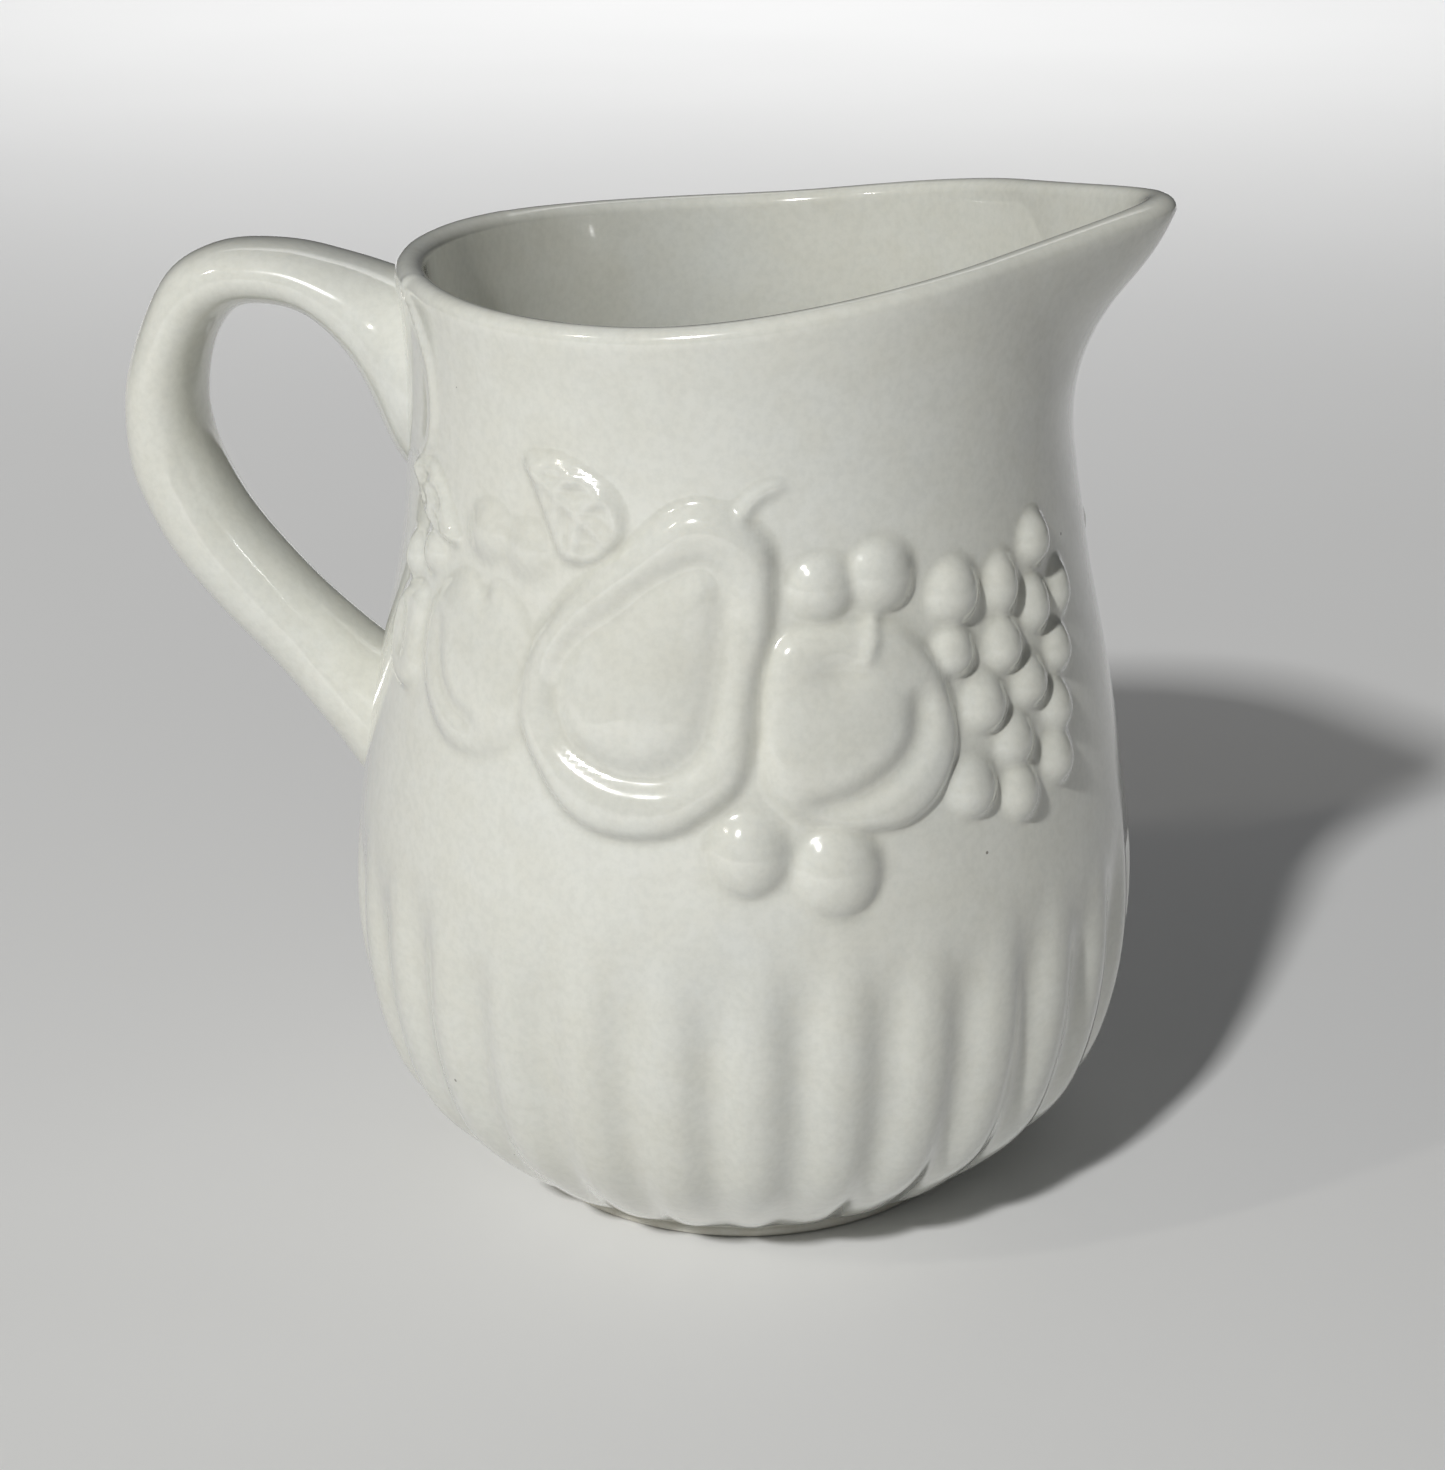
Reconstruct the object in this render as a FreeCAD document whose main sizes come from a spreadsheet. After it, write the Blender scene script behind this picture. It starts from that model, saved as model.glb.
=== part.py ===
import FreeCAD, Part
import math
import os

# Ceramic milk and water pitcher with a moulded fruit garland and a gadrooned belly.
# Frame: origin at the centre of the foot on the resting plane, +Z up,
# +X towards the pouring lip, -X towards the handle. Millimetres.

V = FreeCAD.Vector
doc = FreeCAD.newDocument("pitcher")

# ---------------------------------------------------------------- driving sizes
sheet = doc.addObject("Spreadsheet::Sheet", "Sizes")
cells = [
    ("foot_radius", 44.0), ("foot_bore", 38.0), ("foot_height", 2.2),
    ("foot_round", 0.7),
    ("wall", 5.0), ("belly_radius", 73.0), ("lip_round", 1.4),
    ("lobes", 30), ("lobe_depth", 1.4),
    ("tip_round", 0.12),
    ("pad_rise", 0.9), ("pad_half_width", 38.0), ("pad_half_height", 14.5),
    ("pad_level", 156.5),
    ("slip_rise", 0.5), ("slip_half_width", 17.0), ("slip_half_height", 14.5),
    ("slip_level", 84.0),
    ("leaf_rise", 1.9),
    ("pear_rise", 3.6), ("apple_rise", 3.2), ("plum_rise", 2.6),
    ("berry_radius", 5.2), ("hanging_radius", 7.0), ("small_berry_radius", 4.2),
    ("grape_radius", 4.9), ("stem_radius", 1.7),
]
row = 1
for name, value in cells:
    sheet.set("A%d" % row, name)
    sheet.set("B%d" % row, str(value))
    sheet.setAlias("B%d" % row, name)
    row += 1

# wall levels: height, outer crest radius, reach of the spout (0 where the wall is round),
# share of the full lobe depth
LEVELS = [
    (2.2, 44.0, 0, 0.0), (6, 50.2, 0, 0.30), (12, 57.4, 0, 0.65), (20, 64.8, 0, 0.9),
    (32, 70.3, 0, 1.0), (48, 73.0, 0, 1.0), (64, 72.7, 0, 0.85), (74, 71.3, 0, 0.4),
    (84, 69.8, 0, 0.0), (105, 65.7, 0, 0.0), (126, 61.4, 0, 0.0), (138, 60.1, 0, 0.0),
    (148, 59.4, 59.5, 0.0), (156, 59.4, 60.0, 0.0), (162, 59.7, 61.6, 0.0),
    (168, 60.3, 65.2, 0.0), (174, 60.9, 69.8, 0.0), (180, 61.4, 73.4, 0.0),
    (186, 61.8, 75.8, 0.0), (192, 62.2, 77.6, 0.0),
]
ABC = "abcdefghijklmnopqrstuvwxyz"
for k, (z, rad, reach, share) in enumerate(LEVELS):
    for name, value in (("level_", z), ("radius_", rad), ("reach_", reach), ("share_", share)):
        sheet.set("A%d" % row, name + ABC[k])
        sheet.set("B%d" % row, str(value))
        sheet.setAlias("B%d" % row, name + ABC[k])
        row += 1
# inside of the vessel below the neck: height and radius
INNER = [(8, 38.0), (10.5, 47.0), (15.5, 55.0), (23.5, 61.2), (34, 65.2), (48, 67.9),
         (64, 67.5), (84, 64.7), (105, 60.6), (126, 56.3)]
for k, (z, rad) in enumerate(INNER):
    for name, value in (("in_level_", z), ("in_radius_", rad)):
        sheet.set("A%d" % row, name + ABC[k])
        sheet.set("B%d" % row, str(value))
        sheet.setAlias("B%d" % row, name + ABC[k])
        row += 1
# handle stations in the XZ plane: centre distance from the axis, height, half thickness,
# half width and the lean of the section, degrees from the -X direction
HANDLE = [
    ((52.0, 165.0), (52.0, 127.0), 19.0),
    ((60.0, 166.6), (61.0, 133.0), 17.0),
    ((66.5, 168.3), (66.3, 146.0), 13.5),
    ((73.9, 170.3), (73.0, 154.4), 11.6),
    ((90.5, 172.2), (89.4, 160.7), 10.2),
    ((106.2, 166.2), (98.2, 155.3), 10.0),
    ((115.9, 145.0), (101.7, 142.0), 10.4),
    ((114.4, 124.6), (99.2, 130.4), 10.8),
    ((102.4, 105.4), (90.4, 116.2), 11.0),
    ((88.2, 90.5), (77.7, 103.0), 11.4),
    ((81.3, 82.6), (71.6, 98.0), 12.4),
    ((73.5, 72.6), (65.5, 96.2), 15.0),
    ((62.0, 60.0), (57.0, 94.0), 18.0),
]
for k, (outer, inner, half) in enumerate(HANDLE):
    cx, cz = (outer[0] + inner[0]) / 2.0, (outer[1] + inner[1]) / 2.0
    dx, dz = outer[0] - inner[0], outer[1] - inner[1]
    thick = math.hypot(dx, dz) / 2.0
    lean = math.degrees(math.atan2(dz, dx))
    for name, value in (("grip_reach_", cx), ("grip_level_", cz), ("grip_thick_", thick),
                        ("grip_half_", half), ("grip_lean_", lean)):
        sheet.set("A%d" % row, name + ABC[k])
        sheet.set("B%d" % row, "%.4f" % value)
        sheet.setAlias("B%d" % row, name + ABC[k])
        row += 1
doc.recompute()


def size(name):
    return float(sheet.get(name))


def plane(body, role):
    return [o for o in body.Origin.OriginFeatures if o.Role == role][0]


def sketch_on(body, role, name):
    sk = body.newObject("Sketcher::SketchObject", name)
    sk.AttachmentSupport = [(plane(body, role), "")]
    sk.MapMode = "FlatFace"
    return sk


def spline(points, closed=False):
    c = Part.BSplineCurve()
    n = len(points)
    if closed:
        c.interpolate(Points=points, PeriodicFlag=True,
                      Parameters=[float(i) / n for i in range(n + 1)])
    else:
        c.interpolate(Points=points)
    return c


# ---------------------------------------------------------------- plan of the rim
def plan_radius(angle, rad, reach):
    """Round wall that closes to the spout on +X with two straight tangent flanks."""
    if reach <= rad:
        return rad
    soft = size("tip_round")
    a = math.sqrt(angle * angle + soft * soft)
    left = math.acos(rad / reach) + soft - a
    return rad / math.cos(left) if left > 0 else rad


VALLEY = [1.0, 0.42, 0.13, 0.03, 0.0, 0.03, 0.13, 0.42]   # one lobe, groove to groove


def wall_section(body, name, level, rad, reach, depth, per_lobe):
    n = int(size("lobes")) * per_lobe
    pts = []
    for i in range(n):
        a = 2.0 * math.pi * i / n
        aa = (a + math.pi) % (2.0 * math.pi) - math.pi
        rr = plan_radius(aa, rad, reach)
        if per_lobe == 8:
            rr -= depth * VALLEY[i % 8]
        pts.append(V(rr * math.cos(a), rr * math.sin(a), 0))
    sk = sketch_on(body, "XY_Plane", name)
    sk.addGeometry(spline(pts, True), False)
    sk.setExpression("AttachmentOffset.Base.z", "Sizes." + level)
    return sk


# ---------------------------------------------------------------- body
body = doc.addObject("PartDesign::Body", "body")
body.Label = "body"
sections = []
for k in range(len(LEVELS)):
    s = ABC[k]
    sections.append(wall_section(body, "OuterPlan_" + s, "level_" + s, size("radius_" + s),
                                 size("reach_" + s), size("share_" + s) * size("lobe_depth"), 8))
doc.recompute()
outer = body.newObject("PartDesign::AdditiveLoft", "OuterWall")
outer.Profile = sections[0]
outer.Sections = sections[1:]
outer.Ruled = False
doc.recompute()

inside = []
for k in range(len(INNER)):
    s = ABC[k]
    inside.append(wall_section(body, "InnerPlan_" + s, "in_level_" + s,
                               size("in_radius_" + s), 0, 0, 2))
for k in range(len(LEVELS)):
    s = ABC[k]
    if size("level_" + s) > 130:
        rad, reach = size("radius_" + s), size("reach_" + s)
        thin = rad - size("wall")
        inside.append(wall_section(body, "InnerPlanTop_" + s, "level_" + s, thin,
                                   reach * thin / rad, 0, 2))
doc.recompute()
hollow = body.newObject("PartDesign::SubtractiveLoft", "Hollow")
hollow.Profile = inside[0]
hollow.Sections = inside[1:]
doc.recompute()

# the mouth dips a little amidships and climbs to the tip of the spout
LIP = [(-92, 174.2), (-60, 173.7), (-42, 172.6), (-20, 172.3), (0, 173.3), (20, 176.1),
       (42, 180.0), (60, 183.3), (75, 186.2), (92, 188.8)]
lip = sketch_on(body, "XZ_Plane", "LipLine")
lip.addGeometry(spline([V(x, z, 0) for x, z in LIP]), False)
corners = [(92, 188.8), (92, 200), (-92, 200), (-92, 174.2)]
for (x0, z0), (x1, z1) in zip(corners, corners[1:]):
    lip.addGeometry(Part.LineSegment(V(x0, z0, 0), V(x1, z1, 0)), False)
doc.recompute()
trim = body.newObject("PartDesign::Pocket", "LipTrim")
trim.Profile = lip
trim.SideType = "Symmetric"
trim.Type = 0
trim.Length = 400
doc.recompute()
rim_edges = ["Edge%d" % (i + 1) for i, e in enumerate(trim.Shape.Edges)
             if e.BoundBox.ZMin > 165 and e.Closed and e.Length > 100]
rounded = body.newObject("PartDesign::Fillet", "RoundedLip")
rounded.Base = (trim, rim_edges)
rounded.setExpression("Radius", "Sizes.lip_round")
body.Tip = rounded
doc.recompute()

# form of the outside wall without the hollow, used to seat everything that is stuck on it
wall_form = doc.addObject("Part::Feature", "WallForm")
wall_form.Shape = outer.Shape.copy()


wall_curve = spline([V(size("radius_" + ABC[k]), size("level_" + ABC[k]), 0)
                     for k in range(len(LEVELS))])


def wall_radius(z):
    hits = wall_curve.intersect(Part.LineSegment(V(0, z, 0), V(120, z, 0)))
    return max(p.X for p in hits)


def turned_form(b, tag, levels, rise_of):
    """Sketch of the round wall raised by rise_of(height), closed on the axis."""
    sk = sketch_on(b, "XZ_Plane", tag + "Profile")
    edge = [V(wall_radius(z) + rise_of(z), z, 0) for z in levels]
    sk.addGeometry(spline(edge), False)
    ends = [edge[-1], V(0, levels[-1], 0), V(0, levels[0], 0), edge[0]]
    for p, q in zip(ends, ends[1:]):
        sk.addGeometry(Part.LineSegment(p, q), False)
    return sk


# ---------------------------------------------------------------- foot ring
foot = doc.addObject("PartDesign::Body", "foot_ring")
foot.Label = "foot_ring"
fs = sketch_on(foot, "XZ_Plane", "FootProfile")
FR, FB, FH = size("foot_radius"), size("foot_bore"), size("foot_height")
fp = [V(FB, 0, 0), V(FR, 0, 0), V(FR, FH, 0), V(FB, FH, 0)]
for i in range(4):
    fs.addGeometry(Part.LineSegment(fp[i], fp[(i + 1) % 4]), False)
import Sketcher
for i in range(4):
    fs.addConstraint(Sketcher.Constraint("Coincident", i, 2, (i + 1) % 4, 1))
fs.addConstraint(Sketcher.Constraint("Horizontal", 0))
fs.addConstraint(Sketcher.Constraint("Vertical", 1))
fs.addConstraint(Sketcher.Constraint("Horizontal", 2))
fs.addConstraint(Sketcher.Constraint("Vertical", 3))
fs.addConstraint(Sketcher.Constraint("DistanceX", -1, 1, 0, 1, FB))
fs.setExpression("Constraints[8]", "Sizes.foot_bore")
fs.addConstraint(Sketcher.Constraint("DistanceX", -1, 1, 0, 2, FR))
fs.setExpression("Constraints[9]", "Sizes.foot_radius")
fs.addConstraint(Sketcher.Constraint("DistanceY", 0, 2, 1, 2, FH))
fs.setExpression("Constraints[10]", "Sizes.foot_height")
fs.addConstraint(Sketcher.Constraint("PointOnObject", 0, 1, -1))
doc.recompute()
turn = foot.newObject("PartDesign::Revolution", "FootTurn")
turn.Profile = fs
turn.ReferenceAxis = (fs, ["V_Axis"])
turn.Angle = 360
doc.recompute()
low_edges = ["Edge%d" % (i + 1) for i, e in enumerate(turn.Shape.Edges)
             if e.BoundBox.ZMax < 0.01 and e.Closed]
foot_round = foot.newObject("PartDesign::Fillet", "FootRound")
foot_round.Base = (turn, low_edges)
foot_round.setExpression("Radius", "Sizes.foot_round")
foot.Tip = foot_round
doc.recompute()

# ---------------------------------------------------------------- handle
handle = doc.addObject("PartDesign::Body", "handle")
handle.Label = "handle"
stations = []
for k in range(len(HANDLE)):
    s = ABC[k]
    thick, half = size("grip_thick_" + s), size("grip_half_" + s)
    sk = sketch_on(handle, "XZ_Plane", "GripSection_" + s)
    # rounded oval: a little fuller than an ellipse, in the plane (outwards, across)
    pts = []
    for i in range(24):
        a = 2.0 * math.pi * i / 24
        c, q = math.cos(a), math.sin(a)
        pts.append(V(thick * math.copysign(abs(c) ** 0.92, c),
                     half * math.copysign(abs(q) ** 0.92, q), 0))
    sk.addGeometry(spline(pts, True), False)
    # section plane holds the Y axis and the outward direction of the station
    lean = math.radians(size("grip_lean_" + s))
    out = V(-math.cos(lean), 0, math.sin(lean))
    across = V(0, 1, 0)
    world = FreeCAD.Placement(V(-size("grip_reach_" + s), 0, size("grip_level_" + s)),
                              FreeCAD.Rotation(out, across, out.cross(across), "XYZ"))
    base = plane(handle, "XZ_Plane").Placement
    sk.AttachmentOffset = base.inverse().multiply(world)
    # in the sketch plane's own axes: x is world x, y is world z
    sk.setExpression("AttachmentOffset.Base.x", "-Sizes.grip_reach_" + s)
    sk.setExpression("AttachmentOffset.Base.y", "Sizes.grip_level_" + s)
    stations.append(sk)
doc.recompute()
bow = handle.newObject("PartDesign::AdditiveLoft", "Bow")
bow.Profile = stations[0]
bow.Sections = stations[1:]
bow.Ruled = False
doc.recompute()


def joint_rise(z):
    return size("pad_rise") if z > 120 else size("slip_rise")


seat = turned_form(handle, "Seat", [46, 56, 64, 74, 84, 95, 105, 114, 118, 122, 126, 132, 138,
                                    148, 156, 162, 168, 174], joint_rise)
doc.recompute()
before = bow.Shape.Volume
scoop = handle.newObject("PartDesign::Groove", "Seat")
scoop.Profile = seat
scoop.ReferenceAxis = (seat, ["V_Axis"])
scoop.Angle = 360
handle.Tip = scoop
doc.recompute()
print("handle", round(before), "->", round(scoop.Shape.Volume), "solids", len(scoop.Shape.Solids))

# ---------------------------------------------------------------- joints of the handle
outputs = [body, foot, handle]


def seat_pad(label, levels, rise, centre, half_w, half_h):
    """Thin layer on the wall, inside an ellipse that faces -X."""
    form = doc.addObject("PartDesign::Body", label + "_form")
    sk = turned_form(form, label, levels, lambda z: size(rise))
    doc.recompute()
    rev = form.newObject("PartDesign::Revolution", label + "Turn")
    rev.Profile = sk
    rev.ReferenceAxis = (sk, ["V_Axis"])
    rev.Angle = 360
    form.Tip = rev
    edge = doc.addObject("Part::Ellipse", label + "_edge")
    edge.Placement = FreeCAD.Placement(V(-90, 0, 0), FreeCAD.Rotation(V(0, 0, 1), V(0, 1, 0), V(-1, 0, 0), "XYZ"))
    edge.setExpression("Placement.Base.z", "Sizes." + centre)
    big, small, turn90 = half_w, half_h, True
    if size(half_h) > size(half_w):
        big, small, turn90 = half_h, half_w, False
    if turn90:
        edge.Placement = FreeCAD.Placement(V(-90, 0, size(centre)),
                                           FreeCAD.Rotation(V(0, 1, 0), V(0, 0, -1), V(-1, 0, 0), "XYZ"))
    edge.setExpression("MajorRadius", "Sizes." + big)
    edge.setExpression("MinorRadius", "Sizes." + small)
    block = doc.addObject("Part::Extrusion", label + "_block")
    block.Base = edge
    block.DirMode = "Custom"
    block.Dir = V(1, 0, 0)
    block.LengthFwd = 70
    block.Solid = True
    skin = doc.addObject("Part::Cut", label + "_skin")
    skin.Base = form
    skin.Tool = wall_form
    pad = doc.addObject("Part::Common", label)
    pad.Base = skin
    pad.Tool = block
    pad.Label = label
    doc.recompute()
    return pad


outputs.append(seat_pad("upper_joint_pad", [134, 138, 143, 148, 152, 156, 162, 168, 174], "pad_rise",
                        "pad_level", "pad_half_width", "pad_half_height"))
outputs.append(seat_pad("lower_joint_slip", [62, 68, 74, 79, 84, 90, 95, 105], "slip_rise",
                        "slip_level", "slip_half_width", "slip_half_height"))


# ---------------------------------------------------------------- garland
def wall_slope(z):
    return math.degrees(math.atan((wall_radius(z + 2) - wall_radius(z - 2)) / 4.0))


def dome(name, azimuth, z, half_w, half_h, rise, roll=0.0, sink=0.0):
    """Ellipsoid that shows on the wall as an oval of half_w by half_h, rise high."""
    rad = wall_radius(z)
    drop = half_w * half_w / (2.0 * rad)
    deep = sink + rise
    q = (sink - drop) / deep
    across = half_w / math.sqrt(max(1.0 - q * q, 0.05))
    tall = half_h / math.sqrt(max(1.0 - (sink / deep) ** 2, 0.05))
    e = doc.addObject("Part::Ellipsoid", name)
    e.Radius1 = tall
    e.Radius2 = deep
    e.Radius3 = across
    e.Angle1, e.Angle2, e.Angle3 = -90, 90, 360
    az = math.radians(azimuth)
    turn_z = FreeCAD.Rotation(V(0, 0, 1), azimuth)
    lean = FreeCAD.Rotation(V(0, 1, 0), wall_slope(z))
    spin = FreeCAD.Rotation(V(1, 0, 0), roll)
    e.Placement = FreeCAD.Placement(V((rad - sink) * math.cos(az), (rad - sink) * math.sin(az), z),
                                    turn_z.multiply(lean).multiply(spin))
    return e


def tucked(label, sprig, above):
    """The sprig without what the pieces lying over it cover."""
    for i, other in enumerate(above):
        last = i == len(above) - 1
        cut = doc.addObject("Part::Cut", label if last else label + "_under_%d" % i)
        cut.Base = sprig
        cut.Tool = other
        sprig = cut
    sprig.Label = label
    return sprig


def seated(label, solids, above=()):
    """Solids joined into one sprig and trimmed to the wall they sit on."""
    if len(solids) > 1:
        joined = doc.addObject("Part::MultiFuse", label + "_mass")
        joined.Shapes = solids
    else:
        joined = solids[0]
    cut = doc.addObject("Part::Cut", label + "_whole" if above else label)
    cut.Base = joined
    cut.Tool = wall_form
    return tucked(label, cut, above)


def leaf(label, azimuth, z, length, width, roll):
    """Pointed leaf of even thickness, laid on the wall."""
    rad = wall_radius(z)
    az = math.radians(azimuth)
    # two arcs meet at the stalk and the tip
    h = length / 2.0
    w = width / 2.0
    pts = [V(0, -h, 0), V(w * 0.92, -h * 0.25, 0), V(w * 0.7, h * 0.45, 0), V(0, h, 0)]
    outline = Part.Wire([spline(pts).toShape(),
                         spline([V(-p.x, p.y, 0) for p in reversed(pts)]).toShape()])
    plate = Part.Face(outline).extrude(V(0, 0, 26))
    n = V(math.cos(az), math.sin(az), 0)
    t = V(-math.sin(az), math.cos(az), 0)
    up = V(0, 0, 1)
    r = math.radians(roll)
    xdir = t * math.cos(r) + up * math.sin(r)
    plate.Placement = FreeCAD.Placement(V(n.x * (rad - 13), n.y * (rad - 13), z),
                                        FreeCAD.Rotation(xdir, n.cross(xdir), n, "XYZ"))
    f = doc.addObject("Part::Feature", label + "_plate")
    f.Shape = plate
    return f


leaf_form = doc.addObject("PartDesign::Body", "leaf_form")
lf = turned_form(leaf_form, "LeafForm", [96, 105, 114, 122, 130, 138, 148, 156, 162, 168],
                 lambda z: size("leaf_rise"))
doc.recompute()
lt = leaf_form.newObject("PartDesign::Revolution", "LeafTurn")
lt.Profile = lf
lt.ReferenceAxis = (lf, ["V_Axis"])
lt.Angle = 360
leaf_form.Tip = lt
doc.recompute()
leaf_skin = doc.addObject("Part::Cut", "leaf_skin")
leaf_skin.Base = leaf_form
leaf_skin.Tool = wall_form
doc.recompute()


def seated_leaf(label, place, above=()):
    cut = doc.addObject("Part::Common", label + "_whole" if above else label)
    cut.Base = leaf_skin
    cut.Tool = leaf(label, *place)
    return tucked(label, cut, above)


def ball(name, azimuth, z, radius_cell, proud=0.42):
    """Berry: a ball let into the wall so that proud of its radius stands off it."""
    rad = wall_radius(z)
    az = math.radians(azimuth)
    r = size(radius_cell)
    out = rad - r * (1.0 - 2.0 * proud)
    b = doc.addObject("Part::Sphere", name)
    b.setExpression("Radius", "Sizes." + radius_cell)
    b.Placement = FreeCAD.Placement(V(out * math.cos(az), out * math.sin(az), z),
                                    FreeCAD.Rotation(V(0, 0, 1), azimuth).multiply(
                                        FreeCAD.Rotation(V(0, 1, 0), 90)))
    return b


# pear: round base, neck leaning towards the spout, short stalk
pear = seated("near_pear", [
    dome("pear_base", -96.2, 109.6, 21.0, 20.2, size("pear_rise"), 0, 12),
    dome("pear_neck", -85.4, 132.0, 11.6, 13.4, size("pear_rise") * 0.9, 22, 6)])
stalk = seated("near_pear_stalk", [
    dome("pear_stalk", -77.2, 146.6, 1.6, 4.6, size("stem_radius"), -52, 0.6)])
left_apple = seated("near_left_apple", [
    dome("left_apple", -126.0, 112.4, 14.6, 15.2, size("apple_rise"), 0, 9)], [pear])
right_apple = seated("near_right_apple", [
    dome("right_apple", -62.2, 107.8, 17.4, 17.2, size("apple_rise"), 0, 10)], [pear])
plum = seated("near_handle_plum", [
    dome("handle_plum", -145.6, 112.0, 7.2, 9.4, size("plum_rise"), 0, 3)])
upper_berries = seated("near_upper_berries", [
    ball("berry_a", -124.0, 135.6, "berry_radius", 0.36),
    ball("berry_b", -115.2, 134.4, "berry_radius", 0.34),
    ball("berry_c", -67.6, 131.0, "berry_radius", 0.42),
    ball("berry_d", -58.4, 132.4, "berry_radius", 0.42)], [right_apple])
handle_berries = seated("near_handle_berries", [
    ball("handle_berry_a", -139.0, 128.4, "small_berry_radius", 0.36),
    ball("handle_berry_b", -147.0, 125.6, "small_berry_radius", 0.36)])
hanging_berries = seated("near_hanging_berries", [
    ball("hanging_a", -79.0, 88.0, "hanging_radius", 0.30),
    ball("hanging_b", -66.8, 84.8, "hanging_radius", 0.30)], [pear, right_apple])
GRAPES = [(-45.5, 128.0), (-35.6, 126.6), (-26.5, 132.4), (-46.4, 118.2), (-36.4, 116.6),
          (-27.6, 121.4), (-19.4, 122.4), (-41.6, 108.0), (-31.6, 109.0), (-22.9, 112.6),
          (-36.4, 100.4), (-25.6, 103.2), (-45.4, 94.6), (-36.4, 90.8), (-27.4, 94.8)]
grapes = seated("near_grapes", [ball("grape_" + ABC[i], a, z, "grape_radius", 0.40)
                                for i, (a, z) in enumerate(GRAPES)], [right_apple])
big_leaf = seated_leaf("near_leaf", (-106.4, 141.4, 20.5, 13.5, 49.0), [pear, upper_berries])
handle_leaf = seated_leaf("near_handle_leaf", (-139.4, 137.4, 20.5, 8.6, 60.0), [handle_berries])
doc.recompute()
near = [pear, stalk, left_apple, right_apple, plum, big_leaf, handle_leaf,
        upper_berries, handle_berries, hanging_berries, grapes]
for o in near:
    outputs.append(o)
    twin = doc.addObject("Part::Mirroring", o.Label.replace("near_", "far_"))
    twin.Source = o
    twin.Base = V(0, 0, 0)
    twin.Normal = V(0, 1, 0)
    twin.Label = o.Label.replace("near_", "far_")
    outputs.append(twin)
doc.recompute()

# ---------------------------------------------------------------- checks and files
bad = [o.Name for o in doc.Objects if any(w in st for st in o.State for w in ("Invalid", "Error"))]
assert not bad, bad
os.makedirs("parts", exist_ok=True)
for old in os.listdir("parts"):
    os.remove(os.path.join("parts", old))
for o in outputs:
    shp = o.Shape
    assert not shp.isNull() and shp.isValid() and shp.Volume > 0, o.Label
    bb = shp.optimalBoundingBox(False)
    print("%-22s solids %2d volume %9.1f  x %.1f %.1f y %.1f %.1f z %.1f %.1f" % (
        o.Label, len(shp.Solids), shp.Volume, bb.XMin, bb.XMax, bb.YMin, bb.YMax, bb.ZMin, bb.ZMax))
    shp.exportStep(os.path.join("parts", o.Label + ".step"))
print(len(outputs), "nodes")
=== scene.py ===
import math
import bmesh
import bpy
import numpy as np
from mathutils import Matrix, Vector


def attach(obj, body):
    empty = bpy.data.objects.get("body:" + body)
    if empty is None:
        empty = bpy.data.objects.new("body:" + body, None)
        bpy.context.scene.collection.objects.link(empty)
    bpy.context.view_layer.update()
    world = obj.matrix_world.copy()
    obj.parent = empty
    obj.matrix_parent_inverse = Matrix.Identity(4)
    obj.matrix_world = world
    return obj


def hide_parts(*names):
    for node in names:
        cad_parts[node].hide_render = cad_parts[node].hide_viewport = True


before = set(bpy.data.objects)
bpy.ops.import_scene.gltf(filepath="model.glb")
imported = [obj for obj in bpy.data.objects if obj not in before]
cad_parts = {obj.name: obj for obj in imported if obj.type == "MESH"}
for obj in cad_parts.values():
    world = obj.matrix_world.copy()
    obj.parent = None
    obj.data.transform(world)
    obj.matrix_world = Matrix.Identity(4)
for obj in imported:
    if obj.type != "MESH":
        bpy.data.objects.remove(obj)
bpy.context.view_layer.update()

MM = 0.001

# ------------------------------------------------------------------ curves
def pchip(xk, yk):
    """Monotone cubic through the knots; returns a function of an array."""
    xk, yk = np.asarray(xk, float), np.asarray(yk, float)
    h = np.diff(xk)
    d = np.diff(yk) / h
    m = np.zeros_like(yk)
    m[1:-1] = np.where(d[:-1] * d[1:] > 0,
                       3 * (h[:-1] + h[1:]) / ((2 * h[1:] + h[:-1]) / np.where(d[:-1] == 0, 1, d[:-1])
                                               + (h[1:] + 2 * h[:-1]) / np.where(d[1:] == 0, 1, d[1:])), 0)
    m[0], m[-1] = d[0], d[-1]

    def f(x):
        x = np.clip(np.asarray(x, float), xk[0], xk[-1])
        i = np.clip(np.searchsorted(xk, x) - 1, 0, len(xk) - 2)
        t = (x - xk[i]) / h[i]
        return ((2 * t**3 - 3 * t**2 + 1) * yk[i] + (t**3 - 2 * t**2 + t) * h[i] * m[i]
                + (-2 * t**3 + 3 * t**2) * yk[i + 1] + (t**3 - t**2) * h[i] * m[i + 1])
    return f


def spline(xk, yk):
    """Natural cubic spline, for the curves that must be smooth to the eye."""
    xk, yk = np.asarray(xk, float), np.asarray(yk, float)
    n = len(xk)
    h = np.diff(xk)
    A = np.zeros((n, n))
    b = np.zeros(n)
    A[0, 0] = A[-1, -1] = 1
    for i in range(1, n - 1):
        A[i, i - 1], A[i, i], A[i, i + 1] = h[i - 1], 2 * (h[i - 1] + h[i]), h[i]
        b[i] = 6 * ((yk[i + 1] - yk[i]) / h[i] - (yk[i] - yk[i - 1]) / h[i - 1])
    M = np.linalg.solve(A, b)

    def f(x):
        x = np.clip(np.asarray(x, float), xk[0], xk[-1])
        i = np.clip(np.searchsorted(xk, x) - 1, 0, n - 2)
        a, c = (xk[i + 1] - x) / h[i], (x - xk[i]) / h[i]
        return a * yk[i] + c * yk[i + 1] + ((a**3 - a) * M[i] + (c**3 - c) * M[i + 1]) * h[i]**2 / 6
    return f


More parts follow.
